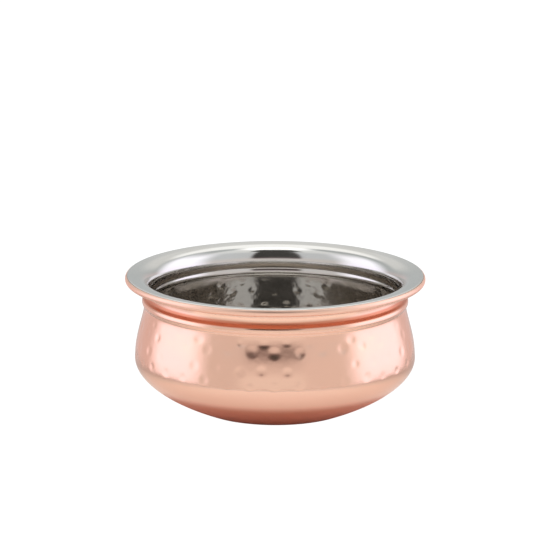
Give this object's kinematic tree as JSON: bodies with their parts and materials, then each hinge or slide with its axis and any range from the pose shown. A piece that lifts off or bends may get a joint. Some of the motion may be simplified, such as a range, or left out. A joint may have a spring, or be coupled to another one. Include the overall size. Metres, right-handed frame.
{
  "type": "serving bowl",
  "caption": "Round handi serving bowl with a stainless steel liner in a hammered copper jacket, a beaded collar, a flat brim and a rolled lip, for serving food at the table.",
  "frame": {"origin": "middle of the flat base, on the surface that the bowl stands on", "axes": "+Z is the bowl's axis, up through the mouth; X and Y lie in the base and are interchangeable"},
  "size_m": [0.125, 0.125, 0.057],
  "materials": {
    "copper": "polished and hammered sheet copper",
    "steel": "polished stainless steel"
  },
  "bodies": {
    "root": {"copper_jacket": "copper", "steel_liner": "steel"}
  },
  "joints": []
}
